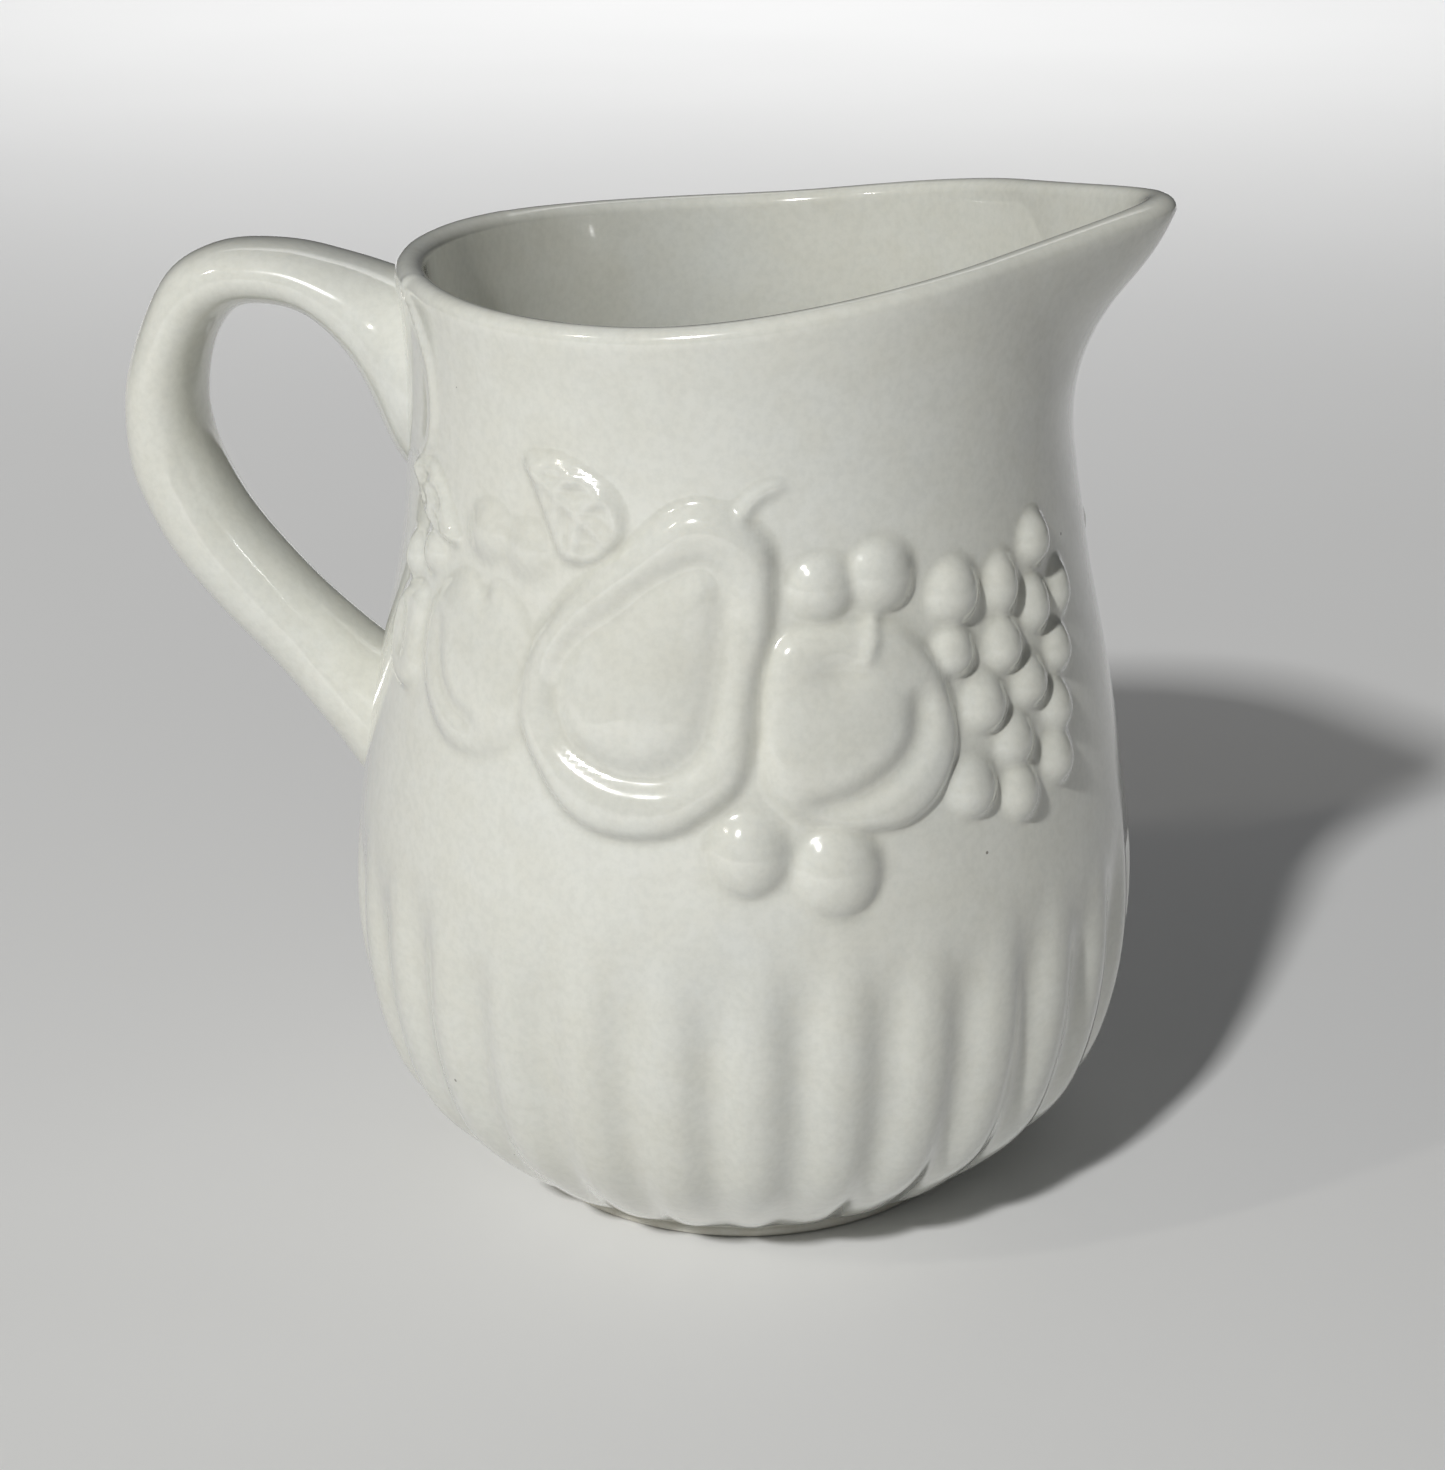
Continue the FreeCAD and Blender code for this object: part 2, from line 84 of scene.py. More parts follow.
def smooth(a, b, x):
    t = np.clip((x - a) / (b - a), 0, 1)
    return t * t * (3 - 2 * t)


# ------------------------------------------------------------------ the vessel's form (mm)
ZK = [2.2, 6, 12, 20, 32, 48, 64, 84, 105, 126, 138, 148, 156, 162, 168, 174, 180, 186, 192]
RK = [44.0, 50.2, 57.4, 64.8, 70.3, 73.0, 72.7, 69.8, 65.7, 61.4, 60.1, 59.4, 59.4, 59.7, 60.3, 60.9, 61.4, 61.8, 62.2]
wall = spline(ZK, RK)
reach_of = spline([138, 144, 150, 156, 162, 168, 174, 180, 186, 192],
                  [59.0, 58.6, 58.7, 59.6, 61.7, 65.2, 69.7, 73.2, 75.4, 77.0])
inner_of = spline([8, 10.5, 15.5, 23.5, 34, 48, 64, 84, 105, 126, 138],
                  [38.0, 47.0, 55.0, 61.2, 65.2, 67.9, 67.5, 64.7, 60.6, 56.3, 55.1])
lip_line = spline([-92, -60, -42, -20, 0, 20, 42, 60, 75, 92],
                  [174.2, 173.7, 172.6, 172.3, 173.3, 176.1, 180.0, 183.3, 186.1, 188.6])
WALL, TIP = 5.0, 0.12


def plan(phi, rad, reach, soft):
    """Round wall closing to the spout at phi 0 with two tangent flanks."""
    a = np.abs((phi + np.pi) % (2 * np.pi) - np.pi)
    ratio = np.clip(rad / np.maximum(reach, rad + 1e-6), -1, 1)
    line = rad / np.maximum(np.cos(np.maximum(np.arccos(ratio) + soft - np.sqrt(a * a + soft * soft), 0)), 0.2)
    return np.where(reach > rad, line, rad)


def outer_radius(phi, z):
    rad = wall(z)
    reach = np.where(z > 138, reach_of(z), 0)
    soft = TIP + 0.10 * (1 - smooth(150, 178, z))
    # the neck draws in a little under the spout before it flares
    dip = np.minimum(reach_of(z) - rad, 0) * smooth(126, 146, z)
    a = np.abs((phi + np.pi) % (2 * np.pi) - np.pi)
    return plan(phi, rad, reach, soft) + dip * np.exp(-(a / 0.45)**2)


def inner_radius(phi, z):
    rad = np.where(z < 138, inner_of(z), wall(z) - WALL)
    reach = np.where(z > 138, reach_of(z) * rad / wall(z), 0)
    return plan(phi, rad, reach, TIP + 0.10 * (1 - smooth(150, 178, z)))


# ------------------------------------------------------------------ relief, on the angle (degrees) and height (mm) grid
def closed_curve(pts, per=10):
    p = np.asarray(pts, float)
    n = len(p)
    out = []
    for i in range(n):
        p0, p1, p2, p3 = p[i - 1], p[i], p[(i + 1) % n], p[(i + 2) % n]
        for t in np.arange(per) / per:
            out.append(0.5 * (2 * p1 + (p2 - p0) * t + (2 * p0 - 5 * p1 + 4 * p2 - p3) * t * t
                              + (3 * p1 - p0 - 3 * p2 + p3) * t**3))
    return np.array(out)


def open_curve(pts, per=10):
    p = np.asarray(pts, float)
    p = np.vstack([2 * p[0] - p[1], p, 2 * p[-1] - p[-2]])
    out = []
    for i in range(1, len(p) - 2):
        p0, p1, p2, p3 = p[i - 1], p[i], p[i + 1], p[i + 2]
        for t in np.arange(per) / per:
            out.append(0.5 * (2 * p1 + (p2 - p0) * t + (2 * p0 - 5 * p1 + 4 * p2 - p3) * t * t
                              + (3 * p1 - p0 - 3 * p2 + p3) * t**3))
    out.append(p[-2])
    return np.array(out)


def to_mm(pts):
    p = np.asarray(pts, float)
    return np.stack([p[:, 0] * np.radians(1) * wall(p[:, 1]), p[:, 1]], 1)


def distance(U, W, line, closed):
    """Distance from grid points to a polyline, signed inside when closed, and the place along it."""
    q = np.vstack([line, line[:1]]) if closed else line
    a, b = q[:-1], q[1:]
    best = np.full(U.shape, 1e9)
    along = np.zeros(U.shape)
    inside = np.zeros(U.shape, bool)
    for i in range(len(a)):
        dx, dy = b[i] - a[i]
        L = dx * dx + dy * dy + 1e-12
        t = np.clip(((U - a[i, 0]) * dx + (W - a[i, 1]) * dy) / L, 0, 1)
        d = np.hypot(U - a[i, 0] - t * dx, W - a[i, 1] - t * dy)
        sel = d < best
        best = np.where(sel, d, best)
        along = np.where(sel, (i + t) / len(a), along)
        if closed:
            cond = (a[i, 1] > W) != (b[i, 1] > W)
            xc = a[i, 0] + (W - a[i, 1]) / (dy if abs(dy) > 1e-12 else 1e-12) * dx
            inside ^= cond & (U < xc)
    if closed:
        best = np.where(inside, best, -best)
    return best, along


def join(a, b, k):
    """Soft maximum: glaze rounds the inside corner where two shapes meet."""
    h = np.clip(0.5 + 0.5 * (a - b) / k, 0, 1)
    return b * (1 - h) + a * h + k * h * (1 - h)


PEAR = [(-74.8, 131), (-74.9, 136.5), (-76.5, 140), (-80, 143.2), (-84, 144.8), (-88.5, 144.8),
        (-92.5, 142.6), (-97.5, 137.6), (-101.9, 134), (-105.6, 130.5), (-108.3, 127.4), (-111, 123.5),
        (-113.4, 119.5), (-114.5, 114.5), (-114.4, 108), (-112.8, 103.5), (-110.6, 100), (-108.1, 96.3),
        (-105, 92.9), (-101.5, 90.8), (-97.5, 89.9), (-92, 90.2), (-88, 91.7), (-85, 94), (-82, 96.6),
        (-79.8, 99.5), (-78.4, 104), (-77.9, 110), (-77.3, 116), (-76.2, 120.5), (-75.2, 125)]
PEAR_IN = [(-86, 135.5), (-90, 134), (-94.4, 131), (-98.8, 126.7), (-103.8, 122.4), (-107.2, 117.5),
           (-108, 112), (-106.8, 107), (-104, 103.5), (-99, 101), (-95, 100.4), (-91, 100.8), (-87.8, 103),
           (-85, 107), (-83.8, 113), (-83.2, 119), (-82.5, 125), (-82.3, 130), (-83.6, 134)]
APPLE_R = [(-76.4, 119.5), (-77.1, 112), (-77.2, 105), (-76.4, 99.8), (-74, 96), (-70.5, 93.2), (-65.5, 91.6),
           (-61, 90.8), (-57.3, 91), (-54, 92.6), (-50.8, 95.6), (-48.6, 99.5), (-47.3, 104), (-47.3, 109),
           (-48.4, 114), (-50.4, 118.5), (-53.4, 122), (-57, 124.2), (-61, 124.8), (-66, 124.9), (-71, 124.8),
           (-74.8, 123)]
APPLE_R_IN = [(-54.6, 114.5), (-53.8, 110.5), (-54.4, 106), (-56.6, 102.3), (-60, 99.4), (-64, 97.2), (-68.5, 96),
              (-72.5, 96.4)]
APPLE_L = [(-116, 123.5), (-119.5, 127), (-122.5, 127.6), (-124.6, 126.2), (-127, 127.8), (-130.5, 127.6),
           (-134, 125.4), (-137.2, 121.8), (-138.7, 116.5), (-138.2, 110.4), (-135.7, 105), (-132.2, 100.8),
           (-128.4, 98.2), (-124, 97.4), (-119.5, 98.4), (-115.5, 101), (-112.5, 106), (-112.5, 116)]
APPLE_L_IN = [(-133, 119.8), (-133.5, 115), (-132.4, 111.2), (-130.4, 107.8), (-127.8, 105.4), (-124.6, 104),
              (-121, 103.6)]
PLUM = [(-139.6, 119.8), (-139.5, 113), (-138.9, 107.4), (-140.4, 104), (-143.4, 103), (-147, 104),
        (-150, 107.4), (-151.6, 112), (-150.8, 117), (-148, 120.4), (-144.4, 121.6), (-141.2, 121.4)]
PLUM_IN = [(-146.6, 117.5), (-145.6, 112.8), (-145, 108)]
LEAF = [(-116.6, 149.4), (-112.6, 150.2), (-108.4, 150.0), (-104.8, 148.6), (-101.4, 146.6), (-99, 143.6),
        (-98.2, 140.2), (-99.4, 136.8), (-102.4, 134.4), (-105.8, 133.4), (-108.6, 134.0), (-110.8, 137.6),
        (-112.8, 142.0), (-114.8, 146.0)]
HANDLE_LEAF = [(-148.6, 142.2), (-144.6, 143.4), (-140.4, 143.2), (-136.8, 140.6), (-133.8, 136.6),
               (-131, 131.6), (-135, 131.2), (-139.4, 132.2), (-143.6, 134.6), (-146.8, 138.2)]
STALK = [(-80.6, 142.2), (-79.2, 144.8), (-77.2, 146.8), (-74.4, 148.0)]
APPLE_STEM = [(-60.0, 125.4), (-60.9, 122.6), (-62.0, 119.6)]
# balls: angle, height, half width (degrees), half height (mm), rise (mm)
BALLS = [
    (-124.0, 135.4, 6.2, 6.4, 2.0), (-115.4, 134.0, 6.0, 6.2, 1.7),
    (-67.7, 131.0, 5.4, 5.6, 2.9), (-58.3, 132.2, 5.9, 6.4, 3.2),
    (-139.0, 128.4, 3.9, 4.2, 2.2), (-147.0, 125.6, 3.6, 4.4, 2.2),
    (-79.0, 88.2, 5.6, 7.3, 3.3), (-66.6, 84.9, 6.2, 8.0, 3.6),
    (-45.5, 127.6, 5.2, 5.8, 3.4), (-35.4, 126.8, 3.9, 5.6, 2.9), (-26.4, 132.2, 4.4, 5.0, 3.2),
    (-46.4, 118.0, 4.1, 4.6, 2.9), (-36.2, 116.8, 4.1, 5.0, 3.1), (-27.6, 121.4, 3.9, 5.2, 2.8),
    (-19.6, 122.0, 3.4, 5.2, 2.4), (-41.6, 108.2, 4.5, 5.2, 3.2), (-31.4, 109.2, 4.2, 4.6, 2.9),
    (-22.9, 112.6, 3.9, 4.6, 2.7), (-36.4, 100.6, 4.2, 4.8, 2.7), (-25.6, 103.2, 4.0, 4.8, 2.9),
    (-45.4, 94.9, 4.6, 5.4, 3.0), (-36.4, 91.8, 3.9, 5.4, 2.9), (-27.2, 95.0, 4.0, 5.2, 2.9),
]


def relief(AZ, Z):
    """Height of the garland over the wall, mm. AZ is folded so that both sides carry it."""
    A = -np.abs(AZ)
    H = np.zeros(A.shape)
    k = np.radians(1) * wall(Z)
    U = A * k

    def region(pts, grow=6.0):
        p = np.asarray(pts, float)
        return ((A > p[:, 0].min() - grow) & (A < p[:, 0].max() + grow)
                & (Z > p[:, 1].min() - grow) & (Z < p[:, 1].max() + grow))

    def shaped(pts, edge, rise, fun=None, closed=True, power=0.62):
        """Rise from the outline over edge mm, times fun(distance, u, w) inside."""
        sel = region(pts)
        line = to_mm(closed_curve(pts))
        d, _ = distance(U[sel], Z[sel], line, True)
        t = np.clip(d / edge, 0, 1)
        h = rise * (1 - (1 - t)**2)**power
        if fun is not None:
            h = fun(d, h, U[sel], Z[sel], A[sel])
        out = np.zeros(A.shape)
        out[sel] = np.where(d > 0, h, 0)
        return out

    def furrow(pts, closed, width, floor_of, base):
        """Pulls a height field down along a line."""
        sel = region(pts)
        line = to_mm(closed_curve(pts) if closed else open_curve(pts))
        d, along = distance(U[sel], Z[sel], line, closed)
        fade = np.ones(d.shape) if closed else np.clip(np.minimum(along, 1 - along) / 0.16, 0, 1)**0.7
        base[sel] -= floor_of * fade * np.exp(-(np.abs(d) / width)**2)
        return base

    # right apple and left apple lie behind the pear
    def apple_body(rise, cu, cz, dome):
        def f(d, h, u, w, a):
            rho2 = ((a - cu) * np.radians(1) * 66 / 19)**2 + ((w - cz) / 19)**2
            return h + dome * np.clip(1 - rho2, 0, 1) * np.clip(d / 5, 0, 1)
        return f
    right = shaped(APPLE_R, 3.2, 2.5, apple_body(0, -65, 110, 0.9))
    right = furrow(APPLE_R_IN, False, 2.3, 1.75, right)
    dim = np.exp(-(((A + 66.2) * k / 4.2)**2 + ((Z - 117.6) / 2.9)**2))
    right -= 1.15 * dim * (right > 0)
    left = shaped(APPLE_L, 4.0, 1.35, apple_body(0, -125, 111, 0.8))
    left = furrow(APPLE_L_IN, False, 1.9, 0.85, left)
    left = furrow([(-124.4, 129.5), (-124.4, 127), (-124.2, 124)], False, 1.4, 0.9, left)
    plum = shaped(PLUM, 2.2, 1.9)
    plum = furrow(PLUM_IN, False, 1.1, 0.7, plum)
    H = join(H, right, 0.5)
    H = join(H, left, 0.5)
    H = join(H, plum, 0.5)

    pear = shaped(PEAR, 3.6, 2.9)
    sel = region(PEAR)
    d_in, _ = distance(U[sel], Z[sel], to_mm(closed_curve(PEAR_IN)), True)
    p = pear[sel]
    inside = d_in > 0
    t = np.clip(d_in / 13.0, 0, 1)
    deep = 1.05 + 0.75 * smooth(128, 104, Z[sel])           # the furrow is deepest round the fat end
    p = p - deep * np.exp(-(np.where(inside, d_in, 0) / 2.9)**2 - (np.where(inside, 0, d_in) / 1.9)**2) * (p > 0)
    p = p + np.where(inside, 0.75 * (t * t * (3 - 2 * t)), 0)
    pear[sel] = np.maximum(p, 0)
    H = join(H, pear, 0.45)

    def leaf_fun(tip, end, veins, border):
        ta, te = to_mm([tip])[0], to_mm([end])[0]
        ax = (te - ta) / np.hypot(*(te - ta))
        pr = np.array([-ax[1], ax[0]])
        L = np.hypot(*(te - ta))

        def f(d, h, u, w, a):
            s = (u - ta[0]) * ax[0] + (w - ta[1]) * ax[1]
            c = (u - ta[0]) * pr[0] + (w - ta[1]) * pr[1]
            rim = np.exp(-((d - 1.2) / 1.0)**2)
            mid = np.exp(-(c / 0.75)**2) * smooth(0, 2, s) * smooth(0, 2.0, L - s)
            side = np.zeros(d.shape)
            for s0, slope, sgn in veins:
                cc = c * sgn
                side = np.maximum(side, np.exp(-((s - s0 - slope * cc) / 0.7)**2) * (cc > -0.2) * smooth(0, 1.2, d - 1.0))
            return h * (0.50 + border * rim + 0.52 * np.maximum(mid, side))
        return f
    big = shaped(LEAF, 0.9, 2.3, leaf_fun((-114.8, 148.8), (-99.4, 137.0),
                                         [(5.0, 0.55, 1), (10.0, 0.5, 1), (6.5, 0.55, -1), (11.0, 0.45, -1)], 0.28))
    H = join(H, big, 0.35)
    small = shaped(HANDLE_LEAF, 1.2, 1.9, leaf_fun((-148.2, 142.0), (-131.4, 131.8),
                                                   [(6.0, 0.6, 1), (12.0, 0.6, 1), (8.0, 0.6, -1), (14.0, 0.6, -1)], 0.40))
    H = join(H, small, 0.35)

    def ridge(pts, rise, w0, w1):
        sel = region(pts)
        d, along = distance(U[sel], Z[sel], to_mm(open_curve(pts)), False)
        wd = w0 + (w1 - w0) * along
        out = np.zeros(A.shape)
        out[sel] = rise * np.exp(-(d / wd)**2) * (1 - 0.25 * along)
        return out
    H = join(H, ridge(STALK, 1.5, 1.5, 1.0), 0.3)
    H = H + ridge(APPLE_STEM, 1.3, 1.1, 0.9)

    for a0, z0, wa, hz, rise in BALLS:
        sel = (np.abs(A - a0) < wa * 1.6) & (np.abs(Z - z0) < hz * 1.6)
        rho2 = ((A[sel] - a0) / wa)**2 + ((Z[sel] - z0) / hz)**2
        b = np.zeros(A.shape)
        b[sel] = rise * np.clip(1 - rho2, 0, 1)**(1.3 if hz > 6.1 and a0 < -110 else 0.70)
        H = join(H, b, 0.35)
    # the soft maximum lifts bare wall by a hair where nothing lies: take it off
    return H - H[0, 0]


def blur(H, AZ_step_mm, Z_step_mm, sigma):
    """Gaussian blur on the grid, wrapping round; H is rows of height by columns of angle."""
    def kern(step):
        n = max(1, int(round(3 * sigma / step)))
        x = np.arange(-n, n + 1) * step
        w = np.exp(-0.5 * (x / sigma)**2)
        return w / w.sum(), n
    w, n = kern(AZ_step_mm)
    P = np.concatenate([H[:, -n:], H, H[:, :n]], 1)
    out = sum(w[i] * P[:, i:i + H.shape[1]] for i in range(2 * n + 1))
    w, n = kern(Z_step_mm)
    P = np.concatenate([np.repeat(out[:1], n, 0), out, np.repeat(out[-1:], n, 0)], 0)
    return sum(w[i] * P[i:i + H.shape[0]] for i in range(2 * n + 1))


# relief table: 0.4 degree by 0.4 mm, softened as the glaze softens it
TA = np.arange(-180, 180, 0.4)
TZ = np.arange(70, 156.01, 0.4)
GA, GZ = np.meshgrid(TA, TZ)
TABLE = blur(relief(GA, GZ), 0.4 * 1.15, 0.4, 0.54)


def table_at(phi, z):
    x = ((np.degrees(phi) + 180) % 360) / 0.4
    y = np.clip((z - TZ[0]) / 0.4, 0, len(TZ) - 1.001)
    x0 = np.floor(x).astype(int)
    y0 = np.floor(y).astype(int)
    fx, fy = x - x0, y - y0
    n = len(TA)
    x0, x1 = x0 % n, (x0 + 1) % n
    v = ((TABLE[y0, x0] * (1 - fx) + TABLE[y0, x1] * fx) * (1 - fy)
         + (TABLE[y0 + 1, x0] * (1 - fx) + TABLE[y0 + 1, x1] * fx) * fy)
    return np.where((z > 70.5) & (z < 155.5), v, 0)


LOBES = 30


def lobes(phi, z):
    """Cut-in of the valleys between the lobes, mm (positive inwards)."""
    t = (phi * LOBES / (2 * np.pi)) % 1.0          # 0 in a valley, 0.5 on a crest
    c = 0.5 + 0.5 * np.cos(2 * np.pi * t)          # 1 in a valley, 0 on a crest
    which = np.floor(phi * LOBES / (2 * np.pi) + 0.5)
    start = 79.0 + 1.6 * np.sin(which * 2.4) - 4.0 * c     # hand finished: no two start alike
    depth = smooth(start, start - 22, z) * smooth(1.0, 9.0, z) * (0.6 + 0.4 * smooth(8, 26, z))
    cut = 1.95 * c**1.3
    return depth * cut


def pad(phi, z):
    """Lens-shaped pad on the wall that the handle's upper end grows from."""
    d = np.degrees(np.abs((phi - np.pi + np.pi) % (2 * np.pi) - np.pi))   # degrees away from -X
    half = pchip([140, 143, 147, 153, 158, 163, 168, 171.5, 175], [0.0, 34.0, 39.0, 40.2, 40.0, 38.0, 34.6, 28.0, 12])(z)
    e = (half - d) * np.radians(1) * 60.0
    rim = np.exp(-((e - 1.3) / 1.2)**2)
    body_ = smooth(-0.8, 1.6, e)
    return (0.42 * body_ + 0.30 * rim) * smooth(138.5, 147, z) * smooth(175, 169.5, z)


# ------------------------------------------------------------------ meshes
def rows_to_mesh(name, rows, closed_bottom=None, closed_top=None):
    """Rows of rings (arrays n by 3, mm). A ring may have half the columns of the one before."""
    verts, start = [], []
    for r in rows:
        start.append(len(verts))
        verts.extend((r * MM).tolist())
    faces = []
    for k in range(len(rows) - 1):
        a, b, n, m = start[k], start[k + 1], len(rows[k]), len(rows[k + 1])
        if n == m:
            for i in range(n):
                j = (i + 1) % n
                faces.append((a + i, a + j, b + j, b + i))
        elif n == 2 * m:
            for i in range(m):
                p, q, s = a + 2 * i, a + 2 * i + 1, a + (2 * i + 2) % n
                u, v = b + i, b + (i + 1) % m
                faces += [(p, q, u), (q, v, u), (q, s, v)]
        elif m == 2 * n:
            for i in range(n):
                p, q, s = b + 2 * i, b + 2 * i + 1, b + (2 * i + 2) % m
                u, v = a + i, a + (i + 1) % n
                faces += [(u, q, p), (u, v, q), (v, s, q)]
    for ring, flip in ((closed_bottom, True), (closed_top, False)):
        if ring is not None:
            k = 0 if flip else len(rows) - 1
            c = len(verts)
            verts.append([x * MM for x in ring])
            n = len(rows[k])
            for i in range(n):
                j = (i + 1) % n
                faces.append((start[k] + j, start[k] + i, c) if flip else (start[k] + i, start[k] + j, c))
    me = bpy.data.meshes.new(name)
    me.from_pydata(verts, [], faces)
    me.validate()
    me.update()
    me.polygons.foreach_set("use_smooth", [True] * len(me.polygons))
    ob = bpy.data.objects.new(name, me)
    bpy.context.scene.collection.objects.link(ob)
    return ob


NPHI = 512
phi = np.arange(NPHI) * 2 * np.pi / NPHI


def ring(r, z, ph=phi):
    z = np.broadcast_to(z, ph.shape)
    return np.stack([r * np.cos(ph), r * np.sin(ph), z], 1)


rim_half = 2.35
top = np.full(NPHI, 174.0)
for _ in range(12):
    mid = 0.5 * (outer_radius(phi, top) + inner_radius(phi, top))
    top = lip_line(mid * np.cos(phi))
shoulder = top - rim_half

rows = []
# underside inside the foot ring, then the foot's step and out under the belly
rows.append(ring(np.full(64, 12.0), 2.45, np.arange(64) * 2 * np.pi / 64))
rows.append(ring(np.full(64, 30.0), 2.35, np.arange(64) * 2 * np.pi / 64))
rows.append(ring(np.full(128, 36.5), 2.25, np.arange(128) * 2 * np.pi / 128))
rows.append(ring(np.full(256, 40.0), 2.2, np.arange(256) * 2 * np.pi / 256))
rows.append(ring(np.full(NPHI, 43.2), 2.2))
low = list(np.arange(2.35, 6, 0.6)) + list(np.arange(6, 16, 1.1)) + list(np.arange(16, 77.6, 1.75))
fine = list(np.arange(78, 150.2, 0.8))
for z in low + fine:
    zz = np.full(NPHI, z)
    r = outer_radius(phi, zz) - lobes(phi, zz) + table_at(phi, zz) + pad(phi, zz)
    rows.append(ring(r, zz))
for t in np.linspace(0, 1, 18)[1:]:
    zz = 150.0 + (shoulder - 150.0) * t
    r = outer_radius(phi, zz) + pad(phi, zz) + table_at(phi, zz)
    rows.append(ring(r, zz))
ro, ri = outer_radius(phi, shoulder) + pad(phi, shoulder), inner_radius(phi, shoulder)
for ang in np.radians([20, 40, 60, 80, 100, 120, 140, 160]):
    rows.append(ring((ro + ri) / 2 + (ro - ri) / 2 * np.cos(ang), shoulder + rim_half * np.sin(ang)))
rows.append(ring(ri, shoulder))
half = np.arange(0, NPHI, 2)
ph2 = phi[half]
sh2 = shoulder[half]
for t in np.linspace(0, 1, 15)[1:]:
    zz = sh2 + (146 - sh2) * t
    rows.append(ring(inner_radius(ph2, zz), zz, ph2))
for z in list(np.arange(140, 24, -5.0)) + [22, 19, 16.5, 14, 12, 10.4]:
    zz = np.full(len(ph2), float(z))
    rows.append(ring(inner_radius(ph2, zz), zz, ph2))
ph3 = ph2[::2]
rows.append(ring(np.full(len(ph3), 40.0), 8.4, ph3))
rows.append(ring(np.full(len(ph3), 30.0), 7.6, ph3))
rows.append(ring(np.full(len(ph3) // 2, 16.0), 7.2, ph3[::2]))
vessel = rows_to_mesh("vessel", rows, (0, 0, 2.5), (0, 0, 7.1))
print("vessel triangles", sum(len(f.vertices) - 2 for f in vessel.data.polygons))

# ------------------------------------------------------------------ handle
# outer and inner points of the bow in the XZ plane (distance from the axis, height) and half width
GRIP = [((52.0, 165.0), (52.0, 126.0), 23.5), ((56.0, 165.6), (56.6, 129.4), 21.6),
        ((59.6, 166.3), (60.6, 133.4), 19.2), ((63.0, 167.3), (63.6, 138.6), 16.6),
        ((66.6, 168.4), (66.4, 144.8), 14.4),
        ((70.4, 169.5), (69.4, 150.0), 12.8), ((75.0, 170.6), (73.6, 155.0), 11.6),
        ((81.6, 171.9), (80.2, 159.6), 10.6), ((88.6, 172.3), (87.4, 160.9), 10.3),
        ((94.8, 171.9), (92.6, 160.2), 10.2), ((100.4, 170.2), (96.4, 157.6), 10.1),
        ((105.6, 166.8), (98.8, 154.2), 10.1), ((109.8, 160.6), (100.4, 150.4), 10.2),
        ((113.2, 153.2), (101.5, 145.6), 10.3), ((115.7, 144.8), (101.8, 141.4), 10.4),
        ((116.3, 136.0), (101.4, 137.4), 10.5), ((115.6, 128.6), (100.2, 132.8), 10.6),
        ((113.0, 121.6), (98.0, 127.6), 10.8), ((109.2, 114.2), (95.0, 122.2), 10.9),
        ((104.4, 107.8), (91.2, 117.0), 11.0), ((98.8, 101.4), (86.8, 112.0), 11.0),
        ((92.6, 95.2), (82.2, 107.2), 11.1), ((86.6, 88.8), (77.8, 103.2), 11.4),
        ((81.4, 82.8), (73.9, 99.8), 12.3), ((77.2, 78.0), (70.4, 96.9), 13.4),
        ((73.6, 73.4), (66.6, 94.6), 14.6), ((68.6, 67.0), (62.6, 93.2), 16.0),
        ((62.5, 61.0), (57.5, 92.5), 18.0)]
g = np.array([[a[0], a[1], b[0], b[1], w] for a, b, w in GRIP])
s = np.concatenate([[0], np.cumsum(np.hypot(*np.diff((g[:, :2] + g[:, 2:4]) / 2, axis=0).T))])
S = np.linspace(0, s[-1], 150)
g2 = np.stack([spline(s, g[:, k])(S) for k in range(5)], 1)
NG = 64
th = np.arange(NG) * 2 * np.pi / NG
hrows = []
for row in g2:
    o, i_, w = row[:2], row[2:4], row[4]
    c, e = (o + i_) / 2, (o - i_) / 2
    cs, sn = np.cos(th), np.sin(th)
    fat = 0.93
    ca = np.sign(cs) * np.abs(cs)**fat
    sa = np.sign(sn) * np.abs(sn)**fat
    rho = c[0] + e[0] * ca
    zz = c[1] + e[1] * ca
    y = w * sa
    x = -rho
    # the roots end inside the wall's thickness, following its curve
    r = np.hypot(x, y)
    k = np.maximum(r, wall(zz) - 2.5) / r
    hrows.append(np.stack([x * k, y * k, zz], 1))
grip = rows_to_mesh("grip", hrows, tuple(hrows[0].mean(0)), tuple(hrows[-1].mean(0)))

# ------------------------------------------------------------------ foot ring
nf = 192
pf = np.arange(nf) * 2 * np.pi / nf
prof = [(38.0, 2.3), (38.0, 0.75), (38.25, 0.25), (38.8, 0.02), (40.0, 0.0), (41.5, 0.0), (43.0, 0.02), (43.6, 0.25),
        (43.95, 0.75), (43.95, 2.4)]
frows = [ring(np.full(nf, a), b, pf) for a, b in prof]
foot = rows_to_mesh("foot", frows + frows[:1])
weld = bmesh.new()
weld.from_mesh(foot.data)
bmesh.ops.remove_doubles(weld, verts=weld.verts, dist=1e-6)
weld.to_mesh(foot.data)
weld.free()

# ------------------------------------------------------------------ materials
def nodes_of(name):
    m = bpy.data.materials.new(name)
    m.use_nodes = True
    nt = m.node_tree
    nt.nodes.clear()
    out = nt.nodes.new("ShaderNodeOutputMaterial")
    bs = nt.nodes.new("ShaderNodeBsdfPrincipled")
    nt.links.new(bs.outputs[0], out.inputs[0])
    return m, nt, bs


